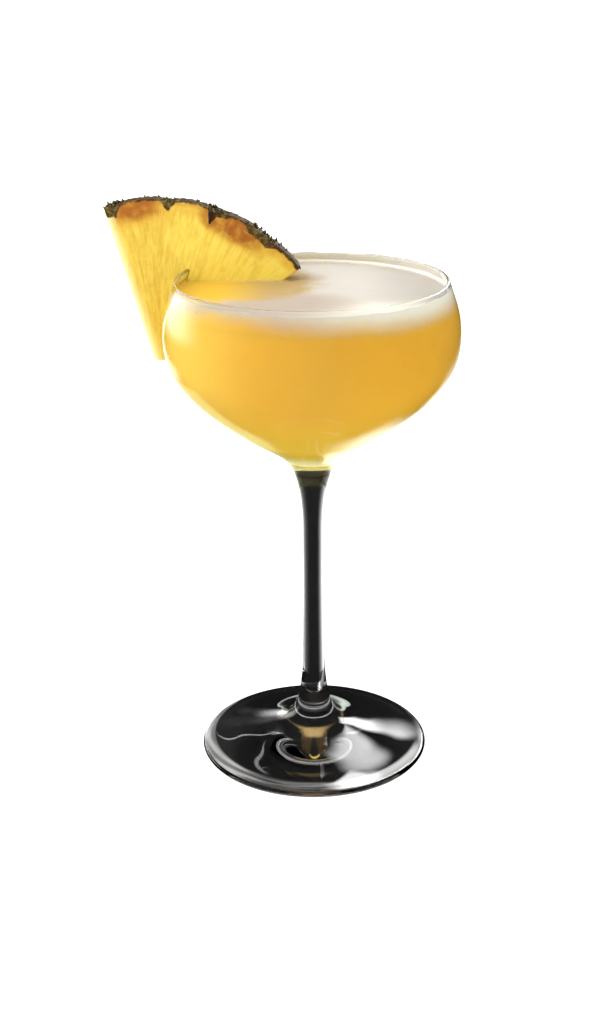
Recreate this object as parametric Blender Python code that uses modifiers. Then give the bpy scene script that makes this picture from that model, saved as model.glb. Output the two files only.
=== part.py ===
"""A pineapple cocktail in a stemmed coupe glass, with a pineapple wedge on the rim.

Metres, +Z up. The origin is the centre of the foot's flat underside, on the glass's axis.
The front of the drink faces -Y, and the wedge sits on the rim at the left, towards -X.
"""

import math

import bmesh
import bpy
from mathutils import Vector

# Driving sizes of the glass: an outer radius, a height and a heading for each knot of its outline
GLASS_HEIGHT = 0.1742
RIM_RADIUS = 0.0460
BELLY_RADIUS = 0.0503
BELLY_HEIGHT = 0.1560
STEM_RADIUS = 0.0036
FOOT_RADIUS = 0.0411
FOOT_EDGE = 0.0024
RIM_WALL = 0.0012
BASE_WALL = 0.0021
WALL_THICKENS_FROM = 0.150
CUP_FLOOR = 0.1136
TURN_STEPS = 48

# Driving sizes of the drink
FOAM_TOP = 0.1698
FOAM_BOTTOM = 0.1662
GAP = 0.0003

# Driving sizes of the wedge: part of a round slice, cut out by two straight cuts and blunted at its tip
SLICE_CENTRE = (-0.0527, 0.1357)
SLICE_RADIUS = 0.0612
WEDGE_RIGHT_DEG = 38.1
WEDGE_LEFT_DEG = 106.2
TIP_RIGHT = (-0.0513, 0.1419)
TIP_LEFT = (-0.0547, 0.1422)
WEDGE_FRONT = 0.0160
WEDGE_THICKNESS = 0.0100
EYE_NOTCHES_DEG = (33.0, 50.9, 71.4, 85.8, 103.0, 120.0)
EYE_CROWN = 0.0014
EYE_ROW_PITCH = 0.0170
EYE_ROW_FROM_FRONT = 0.0030
SLIT_CLEARANCE = 0.00035
SLIT_REACH = 0.136

COLLECTION = "pineapple_cocktail"
CUTTERS = "cutters"


def clear_scene():
    """Empties the scene, so that the part stands alone in it."""
    for obj in list(bpy.data.objects):
        bpy.data.objects.remove(obj)


def collection(name):
    """A new collection in the scene."""
    made = bpy.data.collections.new(name)
    bpy.context.scene.collection.children.link(made)
    return made


def material(name, colour, roughness, metallic=0.0, transmission=0.0):
    """A plain Principled material in the finish of one sub-part."""
    made = bpy.data.materials.new(name)
    made.use_nodes = True
    shader = made.node_tree.nodes["Principled BSDF"]
    shader.inputs["Base Color"].default_value = (*colour, 1.0)
    shader.inputs["Roughness"].default_value = roughness
    shader.inputs["Metallic"].default_value = metallic
    shader.inputs["Transmission Weight"].default_value = transmission
    return made


def outline_curve(knots, steps):
    """Points on one smooth line through knots of (radius, height, heading in degrees)."""
    points = []
    for (r0, z0, a0), (r1, z1, a1) in zip(knots, knots[1:]):
        start, end = Vector((r0, z0)), Vector((r1, z1))
        reach = (end - start).length * 0.37
        out = start + reach * Vector((math.cos(math.radians(a0)), math.sin(math.radians(a0))))
        back = end - reach * Vector((math.cos(math.radians(a1)), math.sin(math.radians(a1))))
        for i in range(steps):
            t = i / steps
            u = 1 - t
            points.append(u**3 * start + 3 * u * u * t * out + 3 * u * t * t * back + t**3 * end)
    points.append(Vector(knots[-1][:2]))
    return points


def offset(points, distance):
    """The line moved sideways, to the right of its way down, by distance(point)."""
    moved = []
    for i, point in enumerate(points):
        way = points[min(i + 1, len(points) - 1)] - points[max(i - 1, 0)]
        side = Vector((way.y, -way.x)).normalized()
        moved.append(point + side * distance(point))
    return moved


def wall_at(point):
    """The wall's thickness at a height: even near the rim, thicker towards the stem."""
    low = max(0.0, min(1.0, (WALL_THICKENS_FROM - point.y) / (WALL_THICKENS_FROM - CUP_FLOOR)))
    return RIM_WALL + (BASE_WALL - RIM_WALL) * low


def bowl_outside():
    """The bowl's outer line from just under the rim's bead down to the throat."""
    return outline_curve(
        [
            (RIM_RADIUS, GLASS_HEIGHT - RIM_WALL / 2, -71.0),
            (BELLY_RADIUS, BELLY_HEIGHT, -90.0),
            (0.0454, 0.1400, -127.0),
            (0.0254, 0.1220, -143.0),
            (0.0178, 0.1170, -148.0),
        ],
        5,
    )


def stem_and_foot_outside():
    """The outer line from the throat down the stem and over the foot to its edge."""
    return outline_curve(
        [
            (0.0178, 0.1170, -148.0),
            (0.0092, 0.1108, -137.0),
            (0.0058, 0.1040, -107.0),
            (0.0041, 0.0950, -96.0),
            (STEM_RADIUS, 0.0780, -90.5),
            (0.0039, 0.0380, -89.0),
            (0.0048, 0.0240, -82.0),
            (0.0082, 0.0138, -55.0),
            (0.0150, 0.0090, -21.0),
            (0.0270, 0.0052, -14.0),
            (FOOT_RADIUS - 0.0013, FOOT_EDGE, -9.0),
            (FOOT_RADIUS, FOOT_EDGE / 2, -90.0),
            (FOOT_RADIUS - 0.0009, 0.0, -165.0),
        ],
        3,
    )


def cup_inside(grow=0.0):
    """The cup's inner line from under the rim's bead to its floor on the axis. grow moves it inwards."""
    wall = offset(bowl_outside(), lambda point: wall_at(point) + grow)
    last = wall[-1]
    floor = outline_curve([(last.x, last.y, -148.0), (0.0, CUP_FLOOR + grow, -180.0)], 5)
    return wall + floor[1:]


def rim_bead(grow=0.0):
    """The half round over the rim, from the inner line's top to the outer line's top."""
    radius = RIM_WALL / 2 + grow
    centre = Vector((RIM_RADIUS - RIM_WALL / 2 * 0.95, GLASS_HEIGHT - RIM_WALL / 2))
    return [
        centre + radius * Vector((math.cos(math.radians(a)), math.sin(math.radians(a))))
        for a in (150, 120, 90, 60, 30)
    ]


def turned(name, profile, into, finish=None, closed=False):
    """A solid of revolution about Z: profile is its half outline, running down the outer side."""
    mesh = bpy.data.meshes.new(name)
    edges = [(i, i + 1) for i in range(len(profile) - 1)]
    if closed:
        edges.append((len(profile) - 1, 0))
    mesh.from_pydata([(p.x, 0.0, p.y) for p in profile], edges, [])
    obj = bpy.data.objects.new(name, mesh)
    into.objects.link(obj)
    screw = obj.modifiers.new("turn", "SCREW")
    screw.axis = "Z"
    screw.steps = screw.render_steps = TURN_STEPS
    screw.use_merge_vertices = True
    screw.merge_threshold = 0.00001
    screw.use_smooth_shade = True
    if finish:
        obj.data.materials.append(finish)
    return obj


def make_glass(into):
    """The coupe: one piece of clear glass with a wide cup, a drawn stem and a round foot."""
    profile = cup_inside()[::-1] + rim_bead() + bowl_outside() + stem_and_foot_outside()[1:]
    profile.append(Vector((0.0, 0.0)))
    clear = material("clear_glass", (0.95, 0.97, 0.97), 0.02, transmission=1.0)
    return turned("coupe_glass", profile, into, clear)


def filling_line(top, bottom):
    """The cup's inner line, one gap inside the wall, between two heights."""
    line = cup_inside(GAP)
    kept = []
    for above, below in zip(line, line[1:]):
        for level in (top, bottom):
            if above.y > level >= below.y and above.y - below.y > 1e-6:
                t = (above.y - level) / (above.y - below.y)
                kept.append(above.lerp(below, t))
        if bottom < below.y < top:
            kept.append(below.copy())
    return kept


def make_foam(into):
    """The froth: a disc right across the cup, whose edge follows the wall."""
    froth = material("milky_foam", (0.86, 0.80, 0.68), 0.6)
    edge = filling_line(FOAM_TOP, FOAM_BOTTOM)
    profile = [Vector((0.0, FOAM_TOP))] + edge + [Vector((0.0, FOAM_BOTTOM))]
    return turned("foam", profile, into, froth)


def make_drink(into):
    """The juice: it fills the cup from its floor to the underside of the froth."""
    wet = filling_line(FOAM_BOTTOM - GAP, CUP_FLOOR + GAP)
    juice = material("pineapple_juice", (0.78, 0.43, 0.04), 0.25)
    profile = [Vector((0.0, FOAM_BOTTOM - GAP))] + wet
    if profile[-1].x > 1e-6:
        profile.append(Vector((0.0, CUP_FLOOR + GAP)))
    return turned("pineapple_drink", profile, into, juice)


def rind_radius(angle, depth):
    """The rind's distance from the slice's centre: a dome for each eye, with a notch between two."""
    domed = math.cos(math.pi * (depth - EYE_ROW_FROM_FRONT) / EYE_ROW_PITCH) ** 2
    for low, high in zip(EYE_NOTCHES_DEG, EYE_NOTCHES_DEG[1:]):
        if low <= angle <= high:
            swell = math.sin(math.pi * (angle - low) / (high - low)) ** 0.6
            return SLICE_RADIUS + EYE_CROWN * swell * (0.5 + 0.5 * domed)
    return SLICE_RADIUS


def wedge_point(u, v, w):
    """A place in the wedge. u runs round it from right to left, v out from the tip, w from front to back."""
    angle = WEDGE_RIGHT_DEG + (WEDGE_LEFT_DEG - WEDGE_RIGHT_DEG) * u
    depth = WEDGE_THICKNESS * w
    turn = Vector((math.cos(math.radians(angle)), math.sin(math.radians(angle))))
    tip = Vector(TIP_RIGHT).lerp(Vector(TIP_LEFT), u)
    rind = Vector(SLICE_CENTRE) + rind_radius(angle, depth) * turn
    point = tip.lerp(rind, v)
    return Vector((point.x, WEDGE_FRONT + depth, point.y))


def wedge_block(name, into, cuts):
    """A block divided along its three ways and bent into the wedge's sector."""
    mesh = bpy.data.meshes.new(name)
    block = bmesh.new()
    bmesh.ops.create_cube(block, size=1.0)
    for axis, count in enumerate(cuts):
        for i in range(1, count):
            middle = Vector((0.0, 0.0, 0.0))
            normal = Vector((0.0, 0.0, 0.0))
            middle[axis] = i / count - 0.5
            normal[axis] = 1.0
            everything = block.verts[:] + block.edges[:] + block.faces[:]
            bmesh.ops.bisect_plane(block, geom=everything, plane_co=middle, plane_no=normal)
    for vert in block.verts:
        vert.co = wedge_point(*(c + 0.5 for c in vert.co))
    bmesh.ops.recalc_face_normals(block, faces=block.faces)
    block.to_mesh(mesh)
    block.free()
    obj = bpy.data.objects.new(name, mesh)
    into.objects.link(obj)
    return obj


def cut(obj, cutter):
    """Takes the cutter's shape out of the object."""
    boolean = obj.modifiers.new("cut_" + cutter.name, "BOOLEAN")
    boolean.operation = "DIFFERENCE"
    boolean.object = cutter


def as_cutter(obj):
    """Marks a helper that only cuts, and isn't part of the drink."""
    obj.hide_render = True
    obj.display_type = "WIRE"
    return obj


def make_slit_cutter(into):
    """The bowl's wall with a clearance all round it, as it enters the wedge from below."""
    outside = [p for p in offset(bowl_outside(), lambda _: -SLIT_CLEARANCE) if p.y > SLIT_REACH]
    inside = [p for p in cup_inside(SLIT_CLEARANCE) if p.y > SLIT_REACH]
    profile = inside[::-1] + rim_bead(SLIT_CLEARANCE) + outside
    return as_cutter(turned("slit_cutter", profile, into, closed=True))


def make_wedge(into, cutters):
    """The garnish: flesh and rind in one slab, slit from below where it straddles the glass."""
    wedge = wedge_block("pineapple_wedge", into, (44, 6, 5))
    flesh = material("pineapple_flesh", (0.86, 0.60, 0.09), 0.35)
    wedge.data.materials.append(flesh)
    wedge.data.shade_smooth()
    wedge.data.set_sharp_from_angle(angle=math.radians(40))
    cut(wedge, make_slit_cutter(cutters))
    return wedge


def make_room_cutter(into):
    """The wedge with a gap all round it: the room that it takes up in the froth and the juice."""
    room = wedge_block("wedge_room", into, (10, 3, 2))
    swollen = room.modifiers.new("gap", "DISPLACE")
    swollen.mid_level = 0.0
    swollen.strength = 1.7 * GAP
    return as_cutter(room)


def main():
    clear_scene()
    parts = collection(COLLECTION)
    cutters = collection(CUTTERS)
    make_glass(parts)
    foam = make_foam(parts)
    drink = make_drink(parts)
    make_wedge(parts, cutters)
    room = make_room_cutter(cutters)
    cut(foam, room)
    cut(drink, room)


main()
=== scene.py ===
"""The finish of a pineapple cocktail: coupe glass, pineapple wedge on the rim, juice and froth."""

import math

import bmesh
import bpy
import numpy as np
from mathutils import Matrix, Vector, noise


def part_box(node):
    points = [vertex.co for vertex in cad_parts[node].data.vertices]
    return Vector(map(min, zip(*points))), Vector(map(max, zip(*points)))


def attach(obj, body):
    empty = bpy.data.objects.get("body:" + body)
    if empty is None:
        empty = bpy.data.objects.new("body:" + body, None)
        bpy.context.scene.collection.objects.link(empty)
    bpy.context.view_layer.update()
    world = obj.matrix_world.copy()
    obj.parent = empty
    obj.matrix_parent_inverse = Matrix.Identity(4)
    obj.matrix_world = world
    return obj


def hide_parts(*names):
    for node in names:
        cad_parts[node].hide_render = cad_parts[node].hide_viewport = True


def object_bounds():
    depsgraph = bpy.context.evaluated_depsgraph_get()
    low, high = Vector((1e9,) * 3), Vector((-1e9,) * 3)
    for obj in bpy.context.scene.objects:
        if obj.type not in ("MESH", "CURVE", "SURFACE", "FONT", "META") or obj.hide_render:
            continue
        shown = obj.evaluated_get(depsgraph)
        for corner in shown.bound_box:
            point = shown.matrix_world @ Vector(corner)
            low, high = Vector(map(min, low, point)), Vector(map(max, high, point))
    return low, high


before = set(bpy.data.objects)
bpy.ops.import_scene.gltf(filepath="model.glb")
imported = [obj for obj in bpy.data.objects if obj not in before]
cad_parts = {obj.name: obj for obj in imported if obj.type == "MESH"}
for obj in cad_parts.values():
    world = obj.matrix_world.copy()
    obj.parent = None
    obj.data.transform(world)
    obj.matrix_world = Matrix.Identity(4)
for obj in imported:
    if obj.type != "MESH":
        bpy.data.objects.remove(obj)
cad_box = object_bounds()

# Coupe glass
# One piece of clear, colourless glass: a blown cup with a stem drawn from it, on a round pressed foot.
# It is turned from one outline, thin and round at the rim and thick where the cup runs into the stem.
rim_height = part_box("coupe_glass")[1][2]
rim_radius = 0.0460
rim_wall = 0.0012
throat_wall = 0.0021
wall_thickens_from = 0.150
cup_floor = 0.1136
foot_radius = 0.0411
foot_edge = 0.0024
foot_hollow = 0.0009
bead_middle = 0.475
curve_pull = 0.37
merge_within = 0.00001
glass_sides = 168


def smooth_line(knots, steps):
    """Points on one smooth line through knots of (radius, height, heading in degrees)."""
    points = []
    for (r0, z0, a0), (r1, z1, a1) in zip(knots, knots[1:]):
        start, end = Vector((r0, z0)), Vector((r1, z1))
        reach = (end - start).length * curve_pull
        out = start + reach * Vector((math.cos(math.radians(a0)), math.sin(math.radians(a0))))
        back = end - reach * Vector((math.cos(math.radians(a1)), math.sin(math.radians(a1))))
        for i in range(steps):
            t = i / steps
            u = 1 - t
            points.append(u**3 * start + 3 * u * u * t * out + 3 * u * t * t * back + t**3 * end)
    points.append(Vector(knots[-1][:2]))
    return points


def bowl_outside(steps=12):
    """The bowl's outer line from just under the rim's bead down to the throat."""
    return smooth_line(
        [
            (rim_radius, rim_height - rim_wall / 2, -71.0),
            (0.0503, 0.1560, -90.0),
            (0.0454, 0.1400, -127.0),
            (0.0254, 0.1220, -143.0),
            (0.0178, 0.1170, -148.0),
        ],
        steps,
    )


def stem_and_foot():
    """The outer line from the throat down the stem and over the foot, to the hollow underneath it."""
    return smooth_line(
        [
            (0.0178, 0.1170, -148.0),
            (0.0092, 0.1108, -137.0),
            (0.0058, 0.1040, -107.0),
            (0.0041, 0.0950, -96.0),
            (0.0036, 0.0780, -90.5),
            (0.0039, 0.0380, -89.0),
            (0.0048, 0.0240, -82.0),
            (0.0082, 0.0138, -55.0),
            (0.0150, 0.0090, -21.0),
            (0.0270, 0.0052, -14.0),
            (foot_radius - 0.0013, foot_edge, -9.0),
            (foot_radius, foot_edge / 2, -90.0),
            (foot_radius - 0.0012, 0.0, -180.0),
            (foot_radius - 0.0040, 0.0002, -186.0),
            (0.0, foot_hollow, -180.0),
        ],
        8,
    )


def cup_inside(grow=0.0):
    """The cup's inner line from the rim to its floor on the axis. grow moves it into the cup."""
    line = bowl_outside()
    moved = []
    for i, point in enumerate(line):
        way = line[min(i + 1, len(line) - 1)] - line[max(i - 1, 0)]
        low = (wall_thickens_from - point.y) / (wall_thickens_from - cup_floor)
        wall = rim_wall + (throat_wall - rim_wall) * max(0.0, min(1.0, low))
        moved.append(point + Vector((way.y, -way.x)).normalized() * (wall + grow))
    end = moved[-1]
    return moved + smooth_line([(end.x, end.y, -148.0), (0.0, cup_floor + grow, -180.0)], 12)[1:]


def rim_bead():
    """The fire-polished half round over the rim, from its inner side to its outer side."""
    centre = Vector((rim_radius - rim_wall * bead_middle, rim_height - rim_wall / 2))
    turns = [math.radians(a) for a in range(165, 0, -15)]
    return [centre + rim_wall / 2 * Vector((math.cos(a), math.sin(a))) for a in turns]


def turned(name, profile, sides, closed=False):
    """A smooth piece of revolution about the glass's axis."""
    shape = bmesh.new()
    ring = [shape.verts.new((p.x, 0.0, p.y)) for p in profile]
    edges = [shape.edges.new(pair) for pair in zip(ring, ring[1:])]
    if closed:
        edges.append(shape.edges.new((ring[-1], ring[0])))
    bmesh.ops.spin(
        shape, geom=ring + edges, axis=(0, 0, 1), cent=(0, 0, 0), angle=math.tau, steps=sides, use_merge=True
    )
    bmesh.ops.remove_doubles(shape, verts=shape.verts, dist=merge_within)
    bmesh.ops.recalc_face_normals(shape, faces=shape.faces)
    mesh = bpy.data.meshes.new(name)
    shape.to_mesh(mesh)
    shape.free()
    mesh.shade_smooth()
    piece = bpy.data.objects.new(name, mesh)
    bpy.context.scene.collection.objects.link(piece)
    return piece


class Value:
    """A socket in a node tree that takes part in arithmetic, each step of which adds a Math node."""

    def __init__(self, nodes, socket):
        self.nodes = nodes
        self.socket = socket

    def math(self, operation, *others):
        """A Math node of this operation on this value and up to two others."""
        sockets = dict(enumerate((self, *others)))
        return self.nodes.node("ShaderNodeMath", {"operation": operation}, sockets)

    def __add__(self, other):
        return self.math("ADD", other)

    def __sub__(self, other):
        return self.math("SUBTRACT", other)

    def __rsub__(self, other):
        return (self * -1.0) + other

    def __mul__(self, other):
        return self.math("MULTIPLY", other)

    def __truediv__(self, other):
        return self.math("DIVIDE", other)

    def __pow__(self, other):
        return self.math("POWER", other)

    __radd__ = __add__
    __rmul__ = __mul__


class Nodes:
    """A node tree, and the one way to add nodes to it."""

    def __init__(self, tree):
        self.tree = tree

    def node(self, kind, settings=None, sockets=None, output=0):
        """Adds a node: its settings first, then the values or links of its sockets."""
        made = self.tree.nodes.new(kind)
        for key, value in (settings or {}).items():
            setattr(made, key, value)
        for key, value in (sockets or {}).items():
            if isinstance(value, Value):
                self.tree.links.new(value.socket, made.inputs[key])
            else:
                made.inputs[key].default_value = value
        return Value(self, made.outputs[output])

    def axes(self, vector):
        """The three parts of a vector."""
        first = self.node("ShaderNodeSeparateXYZ", None, {0: vector})
        return [Value(self, socket) for socket in first.socket.node.outputs]

    def ease(self, value, low, high):
        """0 at low and 1 at high, with a soft step between. low may be the higher number."""
        settings = {"interpolation_type": "SMOOTHSTEP"}
        if low > high:
            return 1 - self.ease(value, high, low)
        return self.node("ShaderNodeMapRange", settings, {"Value": value, "From Min": low, "From Max": high})


class Paint(Nodes):
    """A material around one Principled shader."""

    def __init__(self, name, fixed):
        self.material = bpy.data.materials.new(name)
        self.material.use_nodes = True
        super().__init__(self.material.node_tree)
        self.shader = self.tree.nodes["Principled BSDF"]
        for socket, value in fixed.items():
            self.shader.inputs[socket].default_value = value

    def place(self):
        """Where a point is on the piece, in metres."""
        return self.node("ShaderNodeTexCoord", output="Object")

    def carried(self, name, output="Vector"):
        """What the piece's mesh carries at a point under a name."""
        return self.node("ShaderNodeAttribute", {"attribute_name": name}, output=output)

    def stretched(self, vector, scale):
        """A vector with its three parts scaled, to stretch a pattern."""
        return self.node("ShaderNodeMapping", None, {"Vector": vector, "Scale": scale})

    def noise(self, vector, scale, detail=2.0, roughness=0.5, distortion=0.0):
        """Soft noise from 0 to 1. scale is in bumps a metre."""
        amounts = {"Scale": scale, "Detail": detail, "Roughness": roughness, "Distortion": distortion}
        return self.node("ShaderNodeTexNoise", None, {"Vector": vector, **amounts})

    def mix(self, factor, first, second):
        """One colour turning into another as factor goes from 0 to 1."""
        sockets = {0: factor}
        for key, colour in ((6, first), (7, second)):
            sockets[key] = colour if isinstance(colour, Value) else (*colour, 1.0)
        return self.node("ShaderNodeMix", {"data_type": "RGBA"}, sockets, output=2)

    def feed(self, socket, value):
        """Links what varies over the surface to the shader."""
        self.tree.links.new(value.socket, self.shader.inputs[socket])

    def bump(self, height, distance):
        """Turns a height into the shader's normal. distance is the relief in metres at a height of 1."""
        self.feed("Normal", self.node("ShaderNodeBump", None, {"Height": height, "Distance": distance}))


clear = Paint("clear_glass", {"IOR": 1.5, "Transmission Weight": 1.0, "Base Color": (1.0, 1.0, 1.0, 1.0)})
place = clear.place()
clear.feed("Roughness", clear.ease(clear.noise(place, 60.0, 3.0), 0.5, 0.8) * 0.012)
clear.bump(clear.noise(place, 55.0, 1.0), 0.00004)

coupe = turned(
    "coupe_glass_clear", cup_inside()[::-1] + rim_bead() + bowl_outside() + stem_and_foot()[1:], glass_sides
)
coupe.data.materials.append(clear.material)
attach(coupe, "root")
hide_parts("coupe_glass")

# Pineapple wedge
# Part of a round slice of fresh pineapple with its rind on. Two straight cuts meet near the core, and
# a slit from below lets it straddle the glass, whose wall the flesh grips.
wedge_low, wedge_high = (Vector(corner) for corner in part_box("pineapple_wedge"))
wedge_thick = wedge_high.y - wedge_low.y
slice_centre = Vector((-0.0527, 0.1357))
slice_radius = 0.0612
eye_crown = 0.0014
eye_notches = (33.0, 50.9, 71.4, 85.8, 103.0, 120.0)
dome_middle = 0.003
dome_span = 0.017
right_cut_angle = 38.1
right_cut_tip = Vector((-0.0513, 0.1419))
left_cut_angle = 106.2
left_cut_tip = Vector((-0.0547, 0.1422))
slit_reach = 0.136
slit_bite = 0.0001
slit_sides = 128
remesh_cell = 0.00042
rind_depth = 0.0014
corner_merge = 0.000001
box_margin = 0.00001
packing = 1.6
most_sway = (0.35, 0.35, 0.5)
flesh_colour = (0.55, 0.345, 0.030)
pale_flesh_colour = (0.79, 0.62, 0.095)
cut_edge_highlight_colour = (0.90, 0.84, 0.50)
amber_colour = (0.56, 0.27, 0.020)
browned_colour = (0.33, 0.105, 0.010)
rind_brown = (0.065, 0.028, 0.006)
rind_olive = (0.17, 0.145, 0.020)
rind_red = (0.035, 0.007, 0.002)


def rind_radius(angle, depth):
    """The rind's distance from the slice's centre: a dome for each eye, with a notch between two."""
    domed = math.cos(math.pi * (depth - dome_middle) / dome_span) ** 2
    for low, high in zip(eye_notches, eye_notches[1:]):
        if low <= angle <= high:
            swell = math.sin(math.pi * (angle - low) / (high - low)) ** 0.6
            return slice_radius + eye_crown * swell * (0.5 + 0.5 * domed)
    return slice_radius


def wedge_point(u, v, w):
    """A place in the wedge. u runs round it from right to left, v out from the tip, w from front to back."""
    angle = right_cut_angle + (left_cut_angle - right_cut_angle) * u
    depth = wedge_thick * w
    turn = Vector((math.cos(math.radians(angle)), math.sin(math.radians(angle))))
    tip = right_cut_tip.lerp(left_cut_tip, u)
    point = tip.lerp(slice_centre + rind_radius(angle, depth) * turn, v)
    return Vector((point.x, wedge_low.y + depth, point.y))


def wedge_block(name, counts, sides=(0, 1, 2), ends=(0.0, 1.0), smaller=0.0):
    """The skin of a block, divided along its three ways and bent into the wedge.

    counts is the number of parts along each way, sides and ends choose the faces that are made, and
    smaller shrinks the block all round.
    """
    shape = bmesh.new()
    for axis in sides:
        first, second = [a for a in range(3) if a != axis]
        for side in ends:
            rows = []
            for i in range(counts[first] + 1):
                row = []
                for j in range(counts[second] + 1):
                    spot = [side, side, side]
                    spot[first] = i / counts[first]
                    spot[second] = j / counts[second]
                    row.append(shape.verts.new(wedge_point(*spot)))
                rows.append(row)
            for row, after in zip(rows, rows[1:]):
                for a, b, c, d in zip(row, row[1:], after[1:], after):
                    shape.faces.new((a, b, c, d))
    bmesh.ops.remove_doubles(shape, verts=shape.verts, dist=corner_merge)
    bmesh.ops.recalc_face_normals(shape, faces=shape.faces)
    shape.normal_update()
    for vert in shape.verts:
        vert.co -= vert.normal * smaller
    mesh = bpy.data.meshes.new(name)
    shape.to_mesh(mesh)
    shape.free()
    made = bpy.data.objects.new(name, mesh)
    bpy.context.scene.collection.objects.link(made)
    return made


def bake(piece):
    """Works the piece's modifiers into its mesh."""
    bpy.context.view_layer.update()
    graph = bpy.context.evaluated_depsgraph_get()
    mesh = bpy.data.meshes.new_from_object(piece.evaluated_get(graph))
    piece.modifiers.clear()
    piece.data = mesh


def put_in_order(piece):
    """Gives the piece's points and faces a fixed order, which a cut leaves to chance."""
    spots = [tuple(vert.co) for vert in piece.data.vertices]
    order = sorted(range(len(spots)), key=lambda i: spots[i])
    place_of = {old: new for new, old in enumerate(order)}
    faces = []
    for face in piece.data.polygons:
        ring = [place_of[i] for i in face.vertices]
        first = ring.index(min(ring))
        faces.append((ring[first:] + ring[:first], face.use_smooth))
    faces.sort()
    mesh = bpy.data.meshes.new(piece.name)
    mesh.from_pydata([spots[i] for i in order], [], [ring for ring, _ in faces])
    mesh.polygons.foreach_set("use_smooth", [smooth for _, smooth in faces])
    piece.data = mesh


def cut(piece, cutter):
    """Takes the cutter's shape out of the piece, and then removes the cutter."""
    taken = piece.modifiers.new("cut", "BOOLEAN")
    taken.operation = "DIFFERENCE"
    taken.object = cutter
    bake(piece)
    put_in_order(piece)
    bpy.data.objects.remove(cutter)


def points_of(piece):
    """The places of the piece's points, one to a row."""
    spots = np.empty(len(piece.data.vertices) * 3)
    piece.data.vertices.foreach_get("co", spots)
    return spots.reshape(-1, 3)


def move_points(piece, spots, low, high):
    """Moves the piece's points to these places, held just inside a box."""
    spots = np.clip(spots, np.array(low) + box_margin, np.array(high) - box_margin)
    piece.data.vertices.foreach_set("co", spots.ravel())
    piece.data.update()


def carry(piece, name, values, kind="FLOAT", domain="POINT"):
    """Writes values into the piece's mesh under a name, for its material or for what grows on it."""
    field = {"FLOAT": "value", "FLOAT_VECTOR": "vector"}[kind]
    piece.data.attributes.new(name, kind, domain).data.foreach_set(field, np.ravel(values))


def scattered(name, surface, form, sizes, flatness, lean, material):
    """Small shapes set over a surface by a node tree, as a mesh of their own.

    They stand thickest where the surface's crowd is 1, and none stands where it is 0.
    """
    plan = Nodes(bpy.data.node_groups.new(name, "GeometryNodeTree"))
    sockets = plan.tree.interface
    sockets.new_socket("Surface", in_out="INPUT", socket_type="NodeSocketGeometry")
    named = {}
    for label in sizes:
        named[label] = sockets.new_socket(label, in_out="INPUT", socket_type="NodeSocketFloat")
    sockets.new_socket("Shapes", in_out="OUTPUT", socket_type="NodeSocketGeometry")
    entry = plan.node("NodeGroupInput").socket.node
    given = {socket.name: Value(plan, socket) for socket in entry.outputs if socket.name}
    crowd = plan.node("GeometryNodeInputNamedAttribute", {"data_type": "FLOAT"}, {"Name": "crowd"})
    spread = {
        "Mesh": given["Surface"],
        "Distance Min": given["Spacing"],
        "Density Max": packing / (sizes["Spacing"] * sizes["Spacing"]),
        "Density Factor": crowd,
        "Seed": 7,
    }
    points = plan.node("GeometryNodeDistributePointsOnFaces", {"distribute_method": "POISSON"}, spread)
    normal = Value(plan, points.socket.node.outputs["Normal"])
    heading = plan.node("ShaderNodeVectorMath", {"operation": "ADD"}, {0: normal, 1: lean})
    upright = plan.node("FunctionNodeAlignRotationToVector", {"axis": "Z"}, {"Vector": heading})
    facing = {"Rotation": upright, "Vector": normal}
    flat = plan.node("FunctionNodeAlignRotationToVector", {"axis": "Y", "pivot_axis": "Z"}, facing)
    sway = {0: tuple(-most for most in most_sway), 1: most_sway, "Seed": 3}
    swayed = plan.node("FunctionNodeRandomValue", {"data_type": "FLOAT_VECTOR"}, sway)
    turned_so = plan.node("FunctionNodeRotateRotation", {"rotation_space": "LOCAL"}, {0: flat, 1: swayed})
    lengths = {2: given["Smallest"], 3: given["Largest"], "Seed": 5}
    length = plan.node("FunctionNodeRandomValue", {"data_type": "FLOAT"}, lengths, output=1)
    scale = plan.node("ShaderNodeVectorMath", {"operation": "SCALE"}, {0: flatness, "Scale": length})
    placed = {"Points": points, "Instance": plan.node(*form), "Rotation": turned_so, "Scale": scale}
    instances = plan.node("GeometryNodeInstanceOnPoints", None, placed)
    real = plan.node("GeometryNodeRealizeInstances", None, {0: instances})
    smooth = plan.node("GeometryNodeSetShadeSmooth", None, {0: real})
    finished = plan.node("GeometryNodeSetMaterial", None, {0: smooth, "Material": material})
    plan.tree.links.new(finished.socket, plan.tree.nodes.new("NodeGroupOutput").inputs[0])

    made = bpy.data.objects.new(name, surface.data)
    bpy.context.scene.collection.objects.link(made)
    growth = made.modifiers.new(name, "NODES")
    growth.node_group = plan.tree
    for label, size in sizes.items():
        growth[named[label].identifier] = size
    bake(made)
    move_points(made, points_of(made), *cad_box)
    return made


wedge = wedge_block("pineapple_slice", (150, 60, 10))
slit_inside = [p for p in cup_inside(-slit_bite) if p.y > slit_reach]
slit_outside = [p - Vector((slit_bite, 0.0)) for p in bowl_outside() if p.y > slit_reach]
cut(wedge, turned("slit", slit_inside[::-1] + rim_bead() + slit_outside, slit_sides, closed=True))
remesh = wedge.modifiers.new("remesh", "REMESH")
remesh.mode = "VOXEL"
remesh.voxel_size = remesh_cell
remesh.use_smooth_shade = True
bake(wedge)

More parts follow.
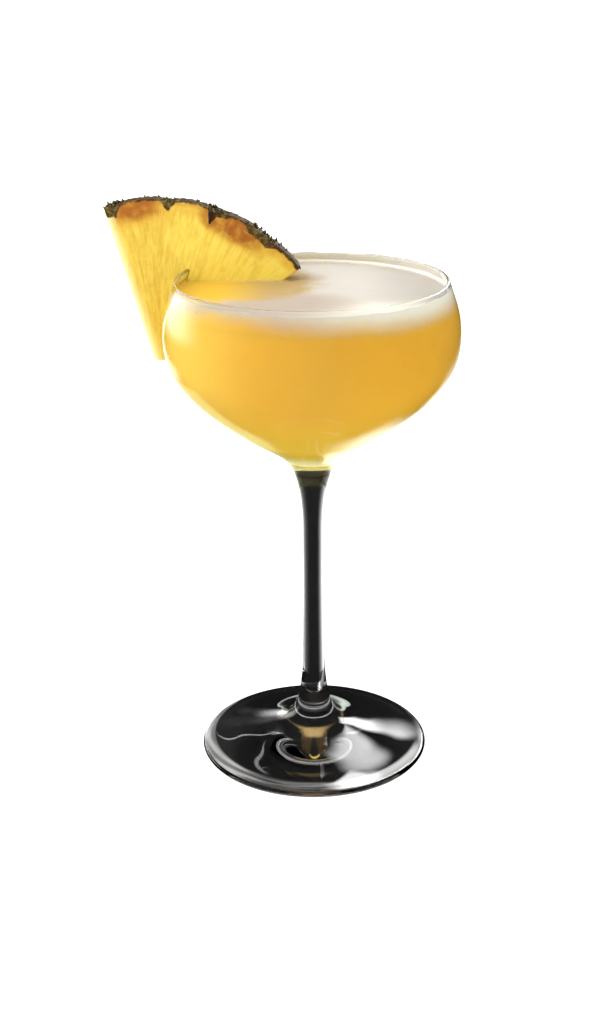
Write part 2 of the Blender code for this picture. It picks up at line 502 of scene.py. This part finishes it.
# The flesh's patterns follow the slice. along is a place on it, unrolled, and marks are the depth under
# the rind, the angle round the slice and the distance from the left cut.
spots = points_of(wedge)
from_centre = spots[:, [0, 2]] - np.array(slice_centre)
radius = np.hypot(from_centre[:, 0], from_centre[:, 1])
angle = np.degrees(np.arctan2(from_centre[:, 1], from_centre[:, 0]))
depth = spots[:, 1] - wedge_low.y
under_rind = np.array([rind_radius(a, d) for a, d in zip(angle, depth)]) - radius
from_left_cut = (left_cut_angle - angle) * math.radians(1.0) * radius
unrolled = np.stack([np.radians(angle) * slice_radius, radius, depth], axis=1)
carry(wedge, "along", unrolled, "FLOAT_VECTOR")
carry(wedge, "marks", np.stack([under_rind, angle, from_left_cut], axis=1), "FLOAT_VECTOR")

# The rind is knobbly and the flesh is stringy.
for i, normal in enumerate(wedge.data.vertex_normals):
    spot = Vector(spots[i])
    rough = max(0.0, 1.0 - under_rind[i] / rind_depth)
    knobs = noise.noise(spot * 600) * 0.00030 + noise.noise(spot * 1600) * 0.00014
    strings = noise.noise(Vector((unrolled[i][0] * 850, radius[i] * 60, depth[i] * 260))) * 0.00007
    spots[i] += np.array(normal.vector) * (rough * knobs + (1 - rough) * strings)
move_points(wedge, spots, wedge_low, wedge_high)

soft_flesh = {"Subsurface Weight": 0.25, "Subsurface Scale": 0.003, "Subsurface Radius": (1.0, 0.6, 0.15)}
flesh = Paint("pineapple_flesh", {"IOR": 1.36, "Roughness": 0.35, **soft_flesh})
along = flesh.carried("along")
under, turn, left = flesh.axes(flesh.carried("marks"))


def near(middle, reach):
    """1 at an angle round the slice and 0 past reach degrees from it."""
    return flesh.ease((turn - middle).math("ABSOLUTE"), reach, 0.0)


def stain(middle, reach, deep, thick):
    """A soft round patch under the rind, at an angle round the slice and a depth under the rind."""
    return flesh.ease(((turn - middle) / reach) ** 2.0 + ((under - deep) / thick) ** 2.0, 1.7, 0.1)


fibres = flesh.noise(flesh.stretched(along, (1300.0, 110.0, 300.0)), 1.0, 3.0, 0.6, 0.4)
bundles = flesh.noise(flesh.stretched(along, (330.0, 75.0, 120.0)), 1.0, 3.0, 0.55, 0.9)
patches = flesh.noise(along, 260.0, 4.0, 0.6, 0.8)
mottling = flesh.noise(along, 330.0, 3.0, 0.6)
grain = flesh.ease(fibres * 0.22 + bundles * 0.50 + patches * 0.28, 0.34, 0.66) * 0.8
# Besides the pale fibres, the flesh is painted paler towards the right cut: painted light.
pulp = flesh.mix(grain * 0.85 + flesh.ease(turn, 92.0, 66.0) * 0.55, flesh_colour, pale_flesh_colour)
amber = stain(97.0, 12.0, 0.0020, 0.0064) + stain(61.5, 13.0, 0.0026, 0.0062)
amber = amber + stain(77.0, 6.0, 0.0006, 0.0042) * 0.5 + stain(44.0, 7.0, 0.0006, 0.0036) * 0.7
amber = amber.math("MINIMUM", 1.0) * (0.55 + 0.4 * flesh.ease(mottling, 0.3, 0.7))
pulp = flesh.mix(amber, pulp, amber_colour)
browned = stain(96.5, 7.5, 0.0026, 0.0038) + stain(61.5, 8.5, 0.0038, 0.0040)
browned = browned + stain(72.0, 3.0, 0.0030, 0.0030) * 0.7
browned = browned + flesh.ease(under + (mottling - 0.5) * 0.003, 0.0022, 0.0004) * 0.5
browned = browned.math("MINIMUM", 1.0) * (0.6 + 0.4 * flesh.ease(mottling, 0.3, 0.6))
pulp = flesh.mix(browned, pulp, browned_colour)
# A painted highlight along the front of the left cut, where its edge catches the light.
left_cut_highlight = flesh.ease(left + (patches - 0.5) * 0.002, 0.0036, 0.0)
left_cut_highlight = left_cut_highlight * flesh.ease(flesh.axes(along)[2], 0.0024, 0.0)
pulp = flesh.mix(left_cut_highlight * 0.6, pulp, cut_edge_highlight_colour)

skin_noise = flesh.noise(along, 480.0, 3.0, 0.65)
skin_depth = near(85.8, 2.6) * 0.0022 + near(71.4, 2.0) * 0.0030 + flesh.ease(turn, 100.5, 103.5) * 0.0030
shoulder = flesh.ease(turn, 61.5, 58.0) * flesh.ease(turn, 48.0, 51.0)
skin_depth = skin_depth + shoulder * 0.0022 + flesh.ease(turn, 51.0, 49.0) * 0.0008
skin_depth = skin_depth + flesh.ease(turn, 65.0, 67.0) * flesh.ease(turn, 73.0, 71.0) * 0.0012 + 0.00035
skin = flesh.ease(under + (skin_noise - 0.5) * 0.0018 - skin_depth, 0.0003, -0.0003)
green = near(85.8, 4.0) + near(68.5, 3.0) + near(56.0, 6.0) * 0.6 + near(104.5, 3.0) * 0.6
speckle = flesh.ease(skin_noise, 0.42, 0.66)
hide = flesh.mix((speckle * 0.45 + green * 0.75 * speckle).math("MINIMUM", 1.0), rind_brown, rind_olive)
hide = flesh.mix(near(71.4, 2.4), hide, rind_red)
flesh.feed("Base Color", flesh.mix(skin, pulp, hide))
flesh.feed("Roughness", 0.30 + 0.4 * skin)
flesh.bump(fibres * 0.6 + bundles * 0.4 + skin_noise * skin, 0.00022)

wedge.data.materials.clear()
wedge.data.materials.append(flesh.material)
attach(wedge, "root")
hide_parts("pineapple_wedge")

# Rind scales
# The small dry leaf tips of the fruit's skin. They grow in the notches between the eyes and over the
# rind, thin and pointed, and the knife leaves them ragged.
scale_tip = (0.19, 0.155, 0.022)
scale_root = (0.055, 0.027, 0.006)

dry = Paint("rind_scale", {"Roughness": 0.7})
tone = dry.noise(dry.place(), 420.0, 3.0, 0.6)
dry.feed("Base Color", dry.mix(dry.ease(tone, 0.38, 0.62), scale_root, scale_tip))
dry.bump(dry.noise(dry.place(), 2600.0, 2.0), 0.00008)

bark = wedge_block("bark", (150, 4, 12), sides=(1,), ends=(1.0,))
outward = bark.data.polygons[0].center - Vector((slice_centre.x, 0.0, slice_centre.y))
if bark.data.polygons[0].normal.dot(outward) < 0:
    bark.data.flip_normals()
crowd = []
for vert in bark.data.vertices:
    turn_at = math.degrees(math.atan2(vert.co.z - slice_centre.y, vert.co.x - slice_centre.x))
    notch = min(abs(turn_at - one) for one in eye_notches)
    from_face = min(vert.co.y - wedge_low.y, wedge_high.y - vert.co.y)
    by_notch = 0.9 * math.exp(-((notch / 2.4) ** 2))
    by_face = 0.4 * math.exp(-from_face / 0.0010)
    crowd.append(min(1.0, 0.06 + by_notch + by_face))
carry(bark, "crowd", crowd)
leaf = {"Vertices": 6, "Side Segments": 2, "Radius Top": 0.0, "Radius Bottom": 0.5, "Depth": 1.0}
scales = scattered(
    "rind_scales",
    bark,
    ("GeometryNodeMeshCone", None, leaf),
    {"Spacing": 0.0012, "Smallest": 0.0007, "Largest": 0.0021},
    (0.80, 0.26, 0.95),
    (-0.45, -0.9, 0.35),
    dry.material,
)
bpy.data.objects.remove(bark)
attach(scales, "root")

# Juice
# A cloudy golden pineapple drink that fills the cup up to the froth. It wets the glass, so its edge
# reaches just into the wall, and light that enters it spreads before it comes out again.
wall_reach = 0.0004
froth_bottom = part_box("foam")[0][2]
froth_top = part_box("foam")[1][2]
cream_level = 0.1687
drink_sides = 128
drink_sharp_angle = 40.0
room_parts = (40, 2, 2)
room_margin = 0.00015
juice_colour = (0.86, 0.49, 0.058)
pale_juice_colour = (0.92, 0.68, 0.13)
low_lit_juice_colour = (0.99, 0.70, 0.085)
lowest_juice_highlight_colour = (0.97, 0.89, 0.42)
lit_juice_colour = (0.97, 0.57, 0.064)
cream_colour = (0.95, 0.93, 0.79)
shaded_beige_colour = (0.69, 0.57, 0.44)
cloudy_liquid = {"Subsurface Weight": 0.2, "Subsurface Scale": 0.003, "Subsurface Radius": (1.0, 0.65, 0.25)}


def filling(top, bottom):
    """The cup's inner line between two heights, moved just into the wall."""
    kept = []
    line = cup_inside(-wall_reach)
    for above, below in zip(line, line[1:]):
        for level in (top, bottom):
            if above.y > level >= below.y and above.y - below.y > 1e-6:
                kept.append(above.lerp(below, (above.y - level) / (above.y - below.y)))
        if bottom < below.y < top:
            kept.append(below.copy())
    return kept


def creamy(paint, place):
    """How far the froth's white has sunk into the juice at a point: 1 in the froth, 0 in the juice."""
    x, _, z = paint.axes(place)
    uneven = (paint.noise(place, 70.0, 3.0, 0.6) - 0.5) * 0.003
    level = cream_level + 0.0021 * paint.ease(x, -0.006, -0.026) - 0.0018 * paint.ease(x, -0.032, -0.041)
    level = level - 0.0012 * paint.ease(x, 0.014, 0.030)
    return paint.ease(z + uneven - level, -0.0035, 0.0035)


def at_glass(paint, place):
    """The colour that shows through the glass: cloudy juice with painted light, and the froth's cream
    soaking down into it.
    """
    x, _, z = paint.axes(place)
    cloudy = tuple(0.6 * a + 0.4 * b for a, b in zip(juice_colour, pale_juice_colour))
    liquid = paint.mix(paint.noise(place, 24.0, 3.0, 0.55, 0.6), juice_colour, cloudy)
    # Painted light: the juice is paler at the left and brighter right of the middle, where the room's light
    # falls on it.
    liquid = paint.mix(paint.ease(x, -0.014, -0.046) * 0.9, liquid, pale_juice_colour)
    liquid = paint.mix(paint.ease(x, 0.0, 0.024) * paint.ease(x, 0.048, 0.036), liquid, lit_juice_colour)
    # Painted light from below: paler and yellower towards the bottom, and palest at the cup's floor, a
    # painted highlight of the bright room seen through the thick glass base.
    liquid = paint.mix(paint.ease(z, 0.146, 0.120), liquid, low_lit_juice_colour)
    liquid = paint.mix(paint.ease(z, 0.1185, 0.1136), liquid, lowest_juice_highlight_colour)
    # The cream is painted darker at the left, painted shade, and paler to the right.
    milky = paint.mix(paint.ease(x, -0.014, 0.024), shaded_beige_colour, cream_colour)
    return paint.mix(creamy(paint, place), liquid, milky)


juice = Paint(
    "pineapple_juice", {"IOR": 1.34, "Specular IOR Level": 0.0, "Roughness": 0.5, **cloudy_liquid}
)
juice.feed("Base Color", at_glass(juice, juice.place()))

wet = filling(froth_bottom, cup_floor - wall_reach)
if wet[-1].x > merge_within:
    wet.append(Vector((0.0, cup_floor - wall_reach)))
drink = turned("juice", [Vector((0.0, froth_bottom))] + wet, drink_sides)
cut(drink, wedge_block("room", room_parts, smaller=room_margin))
drink.data.set_sharp_from_angle(angle=math.radians(drink_sharp_angle))
drink.data.materials.clear()
drink.data.materials.append(juice.material)
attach(drink, "root")
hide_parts("pineapple_drink")

# Froth
# A fine milky froth, shaken up from the juice. It floats in a level layer and clings to the glass above it
# in a thin film. Its colour carries painted shade, and in front of the wedge a painted reflection and shadow
# of the wedge.
froth_white = (0.57, 0.53, 0.465)
froth_shade = (0.41, 0.38, 0.33)
froth_front_left_shade = (0.47, 0.42, 0.34)
froth_front_right_lit = (0.70, 0.66, 0.56)
froth_shadow_beige = (0.43, 0.35, 0.28)
film_colour = (0.92, 0.87, 0.76)
wedge_reflection_colour = (0.70, 0.44, 0.048)
wedge_reflection_shade = (0.45, 0.31, 0.12)
film_height = 0.0034
film_root = 0.0010
wedge_cling = 0.0006
waterline_right = -0.0096
film_from = froth_top + 0.0002
film_full = froth_top + 0.0012
reflection_middle = (-0.030, 0.016)
reflection_reach = (0.033, 0.030)
coarse_rings = 36
fine_rings = 16
fine_band = 0.005
froth_sides = 192
froth_sharp_angle = 50.0
near_wall = 0.04


def wedge_reflection_cover(paint, place, drift=0.0):
    """How much of the wedge's painted reflection and shadow the froth takes at a point: 1 in the patch in
    front of the wedge.
    """
    x, y, _ = paint.axes(place)
    across = ((x - reflection_middle[0]) / reflection_reach[0]) ** 2.0
    along = ((y - reflection_middle[1]) / reflection_reach[1]) ** 2.0
    return paint.ease(across + along + drift, 1.35, 0.6)


froth = Paint("froth", {"Roughness": 0.55, "Specular IOR Level": 0.1, **cloudy_liquid})
place = froth.place()
x, y, z = froth.axes(place)
streaks = froth.noise(froth.stretched(place, (1.0, 2.2, 1.0)), 40.0, 4.0, 0.6, 1.2)
# The froth's top is painted with light and shade: darker to the right, darker at the front left with a
# darker patch there, and lighter at the front right.
milk_and_shade = froth.mix((streaks - 0.5) * 0.5 + froth.ease(x, 0.040, 0.012), froth_shade, froth_white)
front = froth.mix((streaks - 0.5) * 0.5 + froth.ease(x, -0.012, 0.024), froth_front_left_shade, froth_front_right_lit)
milk_and_shade = froth.mix(froth.ease(y, -0.010, -0.024), milk_and_shade, front)
front_left_shadow = froth.ease(((x + 0.009) / 0.024) ** 2.0 + ((y + 0.016) / 0.016) ** 2.0, 1.5, 0.1)
milk_and_shade = froth.mix(front_left_shadow * (0.7 + 0.4 * streaks), milk_and_shade, froth_shadow_beige)
drift = (froth.noise(place, 55.0, 4.0, 0.6, 0.8) - 0.5) * 1.2
# In front of the wedge the froth takes a painted reflection of the wedge, darker to the right: a painted
# shadow by the rind's end.
wedge_reflection_tint = froth.mix(froth.ease(x, -0.011, -0.032), wedge_reflection_shade, wedge_reflection_colour)
top = froth.mix(wedge_reflection_cover(froth, place, drift), milk_and_shade, wedge_reflection_tint)
# Beside the wedge, the film on the glass is painted in the wedge's colour: a painted reflection of the
# wedge.
by_wedge = froth.ease(x, -0.030, -0.038) * froth.ease(y, -0.022, -0.010)
clinging = froth.mix(by_wedge, film_colour, wedge_reflection_colour)
top = froth.mix(froth.ease(z, film_from, film_full), top, clinging)
froth.feed("Base Color", froth.mix(froth.carried("outer", "Fac"), top, at_glass(froth, place)))
froth.bump(froth.noise(place, 1100.0, 3.0, 0.7), 0.00008)

side = filling(froth_top, froth_bottom)
edge = side[0].x
wall = cup_inside(-wall_reach)


def wall_radius(height):
    """The cup's inner radius at a height near the rim."""
    for above, below in zip(wall, wall[1:]):
        if above.y >= height > below.y:
            return above.lerp(below, (above.y - height) / (above.y - below.y)).x
    return wall[0].x


crown = [Vector(((edge - fine_band) * step / coarse_rings, froth_top)) for step in range(coarse_rings)]
for step in range(fine_rings):
    crown.append(Vector((edge - fine_band * (1 - step / fine_rings) ** 2.2, froth_top)))
foam = turned("froth_layer", crown + side + [Vector((0.0, froth_bottom))], froth_sides)
for vert in foam.data.vertices:
    x, y, z = vert.co
    if z < froth_top - merge_within:
        continue
    radius = math.hypot(x, y)
    away = edge - radius
    swirl = noise.noise(Vector((x, y, 0.0)) * 110) * 0.00010
    swirl += noise.noise(Vector((x, y, 0.3)) * 420) * 0.00004
    lively = 0.95 + 0.16 * noise.noise(Vector((x / edge, y / edge, 2.0)) * 5.0)
    rise = film_height * (0.45 + 0.55 * min(1.0, max(0.0, y / 0.024)))
    beside_wedge = y > -0.012 and x < -0.030
    if beside_wedge:
        rise *= 0.35
    at_wall = lively * (rise * math.exp(-away / 0.0003) + film_root * math.exp(-away / 0.0013))
    gap_x = max(0.0, x - waterline_right)
    gap_y = max(0.0, wedge_low.y - y, y - wedge_high.y)
    at_wedge = wedge_cling * math.exp(-math.hypot(gap_x, gap_y) / 0.0008)
    vert.co.z = froth_top + swirl * min(1.0, away / 0.003) + max(at_wall, at_wedge)
    if radius > near_wall:
        moved = (wall_radius(vert.co.z) - away) / radius
        vert.co.x *= moved
        vert.co.y *= moved
cut(foam, wedge_block("room", room_parts, smaller=room_margin))
foam.data.set_sharp_from_angle(angle=math.radians(froth_sharp_angle))
outer = []
for face in foam.data.polygons:
    looks_out = face.normal.xy.dot(face.center.xy) > 0.018
    outer.append(1.0 if face.center.xy.length > near_wall and looks_out else 0.0)
carry(foam, "outer", outer, domain="FACE")
foam.data.materials.clear()
foam.data.materials.append(froth.material)
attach(foam, "root")
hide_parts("foam")

# Froth bubbles
# The larger bubbles that the shaking left, thin skins of the drink round air. They gather where the froth
# meets the glass and the wedge, and lie half sunk in it.
bubble = Paint("bubble", {"Roughness": 0.12, "IOR": 1.33})
place = bubble.place()
# Bubbles in front of the wedge take its painted reflection and shadow; those in the film take the film's
# colour.
top = bubble.mix(wedge_reflection_cover(bubble, place) * 0.9, froth_white, wedge_reflection_colour)
in_film = bubble.ease(bubble.axes(place)[2], film_from, film_full)
bubble.feed("Base Color", bubble.mix(in_film, top, film_colour))

crowd = []
for vert in foam.data.vertices:
    x, y, z = vert.co
    radius = math.hypot(x, y)
    gap_x = max(0.0, x - waterline_right)
    gap_y = max(0.0, wedge_low.y - y, y - wedge_high.y)
    from_wall = (radius - edge + 0.0020) / 0.0008
    from_wedge = (math.hypot(gap_x, gap_y) - 0.0005) / 0.0008
    by_wall = math.exp(-(from_wall**2)) * (0.35 + noise.noise(Vector((x, y, 1.0)) * 60))
    by_wedge = 0.5 * math.exp(-(from_wedge**2))
    crowd.append(0.0 if z < froth_top - 0.0003 else max(0.0, min(1.0, by_wall + by_wedge)))
carry(foam, "crowd", crowd)
bubbles = scattered(
    "froth_bubbles",
    foam,
    ("GeometryNodeMeshUVSphere", None, {"Segments": 8, "Rings": 5, "Radius": 1.0}),
    {"Spacing": 0.0006, "Smallest": 0.00008, "Largest": 0.00030},
    (1.0, 1.0, 1.0),
    (0.0, 0.0, 0.0),
    bubble.material,
)
foam.data.attributes.remove(foam.data.attributes["crowd"])
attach(bubbles, "root")

# Floor, light and camera
# A plain pale floor in a soft pale room, brightest at the left. As a photographer draws clear glass, dark
# cards lie under the foot and stand round the stem, where only what looks through the glass sees them, and
# shining cards and sheets stand further off, where only what mirrors in the glass sees them.
floor_reach = 7
floor_level = -0.0002
glow_level = 0.0002
dark_card_middle = (0.0005, 0.0014)
dark_card_radius = 0.0405
amber_half_width = 0.0023
amber_near = 0.0100
amber_far = 0.0180
flag_distance = 0.024
flag_bottom = 0.0065
flag_top = 0.1195
flag_turn = 28
card_distance = 0.9
picture_height = 1024
focal_length = 1556.1
film_size = 36.0
camera_pitch = 21.02
camera_roll = -0.47


def faded(soft, swirls=0.0, soft_right=None):
    """A cover that is full in the middle of a sheet and fades out towards its edges.

    soft is the share of the sheet that fades at each edge, and soft_right that at the right edge, where
    it isn't the same. swirls breaks the cover up.
    """
    right = soft if soft_right is None else soft_right

    def cover(made):
        u, v, _ = made.axes(made.node("ShaderNodeTexCoord", output="UV"))
        full = made.ease(u, 0.0, soft) * made.ease(u, 1.0, 1 - right) * made.ease(v, 0.0, soft)
        full = full * made.ease(v, 1.0, 1 - soft)
        if swirls:
            shapes = made.noise(made.node("ShaderNodeTexCoord", output="UV"), swirls, 2.0, 0.45, 1.6)
            full = full * made.ease(shapes, 0.42, 0.52)
        return full

    return cover


def thin_under_rim(made):
    """A cover that is full under the foot and thin in round streaks under its rim, mostly in front."""
    x, y, _ = made.axes(made.place())
    middle = {0: made.place(), 1: (0.0005, 0.0055, 0.0)}
    out = made.node("ShaderNodeVectorMath", {"operation": "DISTANCE"}, middle, "Value")
    round_it = made.node("ShaderNodeCombineXYZ", None, {0: out * 420.0, 1: x * 30.0, 2: y * 30.0})
    streaks = made.ease(made.noise(round_it, 1.0, 2.0, 0.5, 0.3), 0.36, 0.64)
    clear_right = made.ease(x, 0.006, 0.018) * made.ease(y, 0.0, -0.012)
    at_left = made.ease(x, -0.016, -0.030)
    thin = 0.03 + 0.18 * streaks + (0.12 + 0.24 * streaks) * at_left + 0.45 * clear_right
    return 1 - thin * made.ease(out, 0.0366, 0.0384)


def behind_stem(made):
    """A cover that is full behind the stem's middle and fades out further to the right than to the left."""
    x, _, _ = made.axes(made.place())
    return made.ease(x, -0.036, -0.005) * made.ease(x, 0.075, 0.004)


def wash(name, colour, strength=0.0, cover=None, hide_from_light=False, hide_from_mirrors=False):
    """A studio surface, shining with its strength and there only where its cover is.

    It can be hidden from the light that painted surfaces receive, or dimmed in mirror images.
    """
    made = Paint(name, {"Base Color": (*colour, 1.0), "Roughness": 1.0, "Specular IOR Level": 0.0})
    made.shader.inputs["Emission Color"].default_value = (*colour, 1.0)
    made.shader.inputs["Emission Strength"].default_value = strength
    covers = cover(made) if cover else None
    if hide_from_light:
        seen = 1 - made.node("ShaderNodeLightPath", output="Diffuse Depth").math("MINIMUM", 1.0)
        covers = seen if covers is None else covers * seen
    if hide_from_mirrors:
        covers = 1 - 0.65 * made.node("ShaderNodeLightPath", output="Glossy Depth").math("MINIMUM", 1.0)
    if covers is not None:
        nothing = made.node("ShaderNodeBsdfTransparent")
        shown = made.node("ShaderNodeMixShader", None, {0: covers, 1: nothing})
        made.tree.links.new(made.shader.outputs[0], shown.socket.node.inputs[2])
        made.tree.links.new(shown.socket, made.tree.nodes["Material Output"].inputs["Surface"])
    return made.material


def oblong(left, right, low, high):
    """The four corners of an oblong, one after another round it."""
    return (left, low), (right, low), (right, high), (left, high)


def sheet(name, corners, material):
    """A flat sheet of the studio through its corners."""
    mesh = bpy.data.meshes.new(name)
    mesh.from_pydata(corners, [], [range(len(corners))])
    mesh.materials.append(material)
    if len(corners) == 4:
        layer = mesh.uv_layers.new(name="UVMap")
        for loop, spot in zip(layer.data, oblong(0, 1, 0, 1)):
            loop.uv = spot
    made = bpy.data.objects.new(name, mesh)
    bpy.context.scene.collection.objects.link(made)
    return made


def card(name, height, directions, strength, soft, swirls=0.0):
    """A shining card that only reflections see, with its corners in these directions from the axis.

    A direction is degrees round from the back towards the right, and degrees up from level. height is
    that of the point on the axis that the directions start from.
    """
    corners = []
    for turn, rise in directions:
        turn, rise = math.radians(turn), math.radians(rise)
        flat = math.cos(rise)
        away = Vector((math.sin(turn) * flat, math.cos(turn) * flat, math.sin(rise)))
        corners.append(Vector((0.0, 0.0, height)) + away * card_distance)
    made = sheet(name, corners, wash(name, (1.0, 1.0, 1.0), strength, faded(soft, swirls)))
    made.visible_camera = False
    made.visible_diffuse = False
    made.visible_transmission = False
    made.visible_shadow = False
    return made


floor = sheet(
    "floor",
    [(x, y, floor_level) for x, y in oblong(-floor_reach, floor_reach, -floor_reach, floor_reach)],
    wash("pale_floor", (0.93, 0.93, 0.93), 0.28, hide_from_mirrors=True),
)
floor.visible_glossy = False

fan = []
for turn in range(0, 360, 5):
    x = dark_card_middle[0] + dark_card_radius * math.sin(math.radians(turn))
    y = dark_card_middle[1] + dark_card_radius * math.cos(math.radians(turn))
    fan.append((x, y, floor_level / 2))
slope = []
for x, y in oblong(-amber_half_width, amber_half_width, amber_near, amber_far):
    slope.append((x, y, 0.0116 - 0.88 * (y - 0.0160)))
flag = [(x, flag_distance, z) for x, z in oblong(-0.036, 0.050, flag_bottom, 0.121)]
black = (0.006, 0.006, 0.006)
cards = [
    ("dark_card", fan, black, thin_under_rim),
    # The amber card glows and only what looks through the glass sees it: it paints the drink's golden image
    # into the foot's middle.
    ("amber_card", slope, (0.26, 0.18, 0.08), faded(0.3)),
    ("stem_flag", flag, black, behind_stem),
]
for turn in range(68, 292, flag_turn):
    facet = []
    for end, z in oblong(turn, turn + flag_turn, flag_bottom, flag_top):
        end = math.radians(end)
        facet.append((flag_distance * math.sin(end), flag_distance * math.cos(end), z))
    cards.append((f"stem_flag_{turn}", facet, black, None))
for name, corners, colour, cover in cards:
    seen_through = sheet(name, corners, wash(name, colour, 1.0, cover, hide_from_light=True))
    seen_through.visible_camera = False
    seen_through.visible_diffuse = False
    seen_through.visible_glossy = False
    seen_through.visible_shadow = False

card("left_window", 0.165, ((-92, -10), (-12, -10), (-12, 13), (-92, 13)), 2.4, 0.45)
card("high_window", 0.01, ((6, 43), (20, 43), (27, 61), (-2, 61)), 14.0, 0.35, swirls=0.7)
card("side_window", 0.01, ((15, 13), (60, 20), (60, 43), (15, 26)), 12.0, 0.3)
card("side_window_above", 0.01, ((24, 34), (44, 34), (34, 66), (3, 66)), 9.5, 0.3)
card("left_line", 0.01, ((-17, 24), (-16, 22), (-33, 41), (-34, 43)), 2.5, 0.3)
card("left_line_above", 0.01, ((-29, 41), (-28, 40), (-15, 52), (-16, 53)), 2.0, 0.4)
card("low_window", 0.01, ((-34, -2), (-10, -12), (-10, 12), (-34, 22)), 7.0, 0.4)
for name, x_low, x_high, y_low, y_high, colour, strength, soft_right in (
    ("floor_glow", 0.004, 0.108, 0.045, 0.40, (0.86, 0.96, 0.88), 0.70, 0.55),
    ("floor_beyond", -0.35, 0.35, 0.16, 0.80, (0.86, 0.96, 0.88), 0.3, 0.45),
    ("floor_glow_left", -0.20, -0.02, 0.075, 0.30, (0.30, 0.35, 0.21), 1.0, 0.18),
):
    corners = [(x, y, glow_level) for x, y in oblong(x_low, x_high, y_low, y_high)]
    glow = sheet(name, corners, wash(name, colour, strength, faded(0.18, soft_right=soft_right)))
    glow.visible_camera = False
    glow.visible_diffuse = False
    glow.visible_transmission = False
    glow.visible_shadow = False

world = bpy.data.worlds.new("pale_room")
bpy.context.scene.world = world
world.use_nodes = True
room = Nodes(world.node_tree)
toward = room.node("ShaderNodeTexCoord", output="Generated")
from_left = {0: toward, 1: (-0.93, 0.10, 0.35)}
left_side = room.node("ShaderNodeVectorMath", {"operation": "DOT_PRODUCT"}, from_left, "Value")
lit = 1.20 + 2.5 * room.ease(left_side, 0.5, 1.0)
after_paint = room.node("ShaderNodeLightPath", output="Diffuse Depth").math("MINIMUM", 1.0)
by_eye = room.node("ShaderNodeLightPath", output="Is Camera Ray")
through_glass = room.node("ShaderNodeLightPath", output="Is Transmission Ray") * (1 - after_paint)
up = room.axes(toward)[2]
not_mirrored = 1 - 0.8 * room.node("ShaderNodeLightPath", output="Glossy Depth").math("MINIMUM", 1.0)
horizon = room.ease(up, 0.0, 0.02) * room.ease(up, 0.20, 0.10)
pale_above = not_mirrored * room.ease(up, 0.03, 0.20) * room.ease(up, 0.60, 0.45)
past_glass = through_glass * horizon.math("MAXIMUM", pale_above) * 0.8
strength = (lit * after_paint).math("MAXIMUM", by_eye).math("MAXIMUM", past_glass)
background = world.node_tree.nodes["Background"]
world.node_tree.links.new(strength.socket, background.inputs["Strength"])
background.inputs["Color"].default_value = (1.0, 1.0, 1.0, 1.0)

lamp = bpy.data.lights.new("key_light", "AREA")
lamp.shape = "RECTANGLE"
lamp.size, lamp.size_y = 0.5, 0.6
lamp.energy = 2.0
lamp.color = (1.0, 0.98, 0.95)
key = bpy.data.objects.new("key_light", lamp)
key.location = (-0.70, -0.30, 0.60)
key.rotation_euler = (Vector((0.0, 0.0, 0.15)) - key.location).to_track_quat("-Z", "Y").to_euler()
key.visible_glossy = False
bpy.context.scene.collection.objects.link(key)

camera = bpy.data.objects.new("camera", bpy.data.cameras.new("camera"))
camera.data.sensor_width = film_size
camera.data.lens = focal_length / picture_height * film_size
camera.data.clip_start = 0.01
camera.location = (-0.0033, -0.51105, 0.2875)
camera.rotation_euler = (math.radians(90 - camera_pitch), 0.0, 0.0)
camera.rotation_euler.rotate_axis("Z", math.radians(camera_roll))
bpy.context.scene.collection.objects.link(camera)
bpy.context.scene.camera = camera
bpy.context.scene.view_settings.view_transform = "Standard"
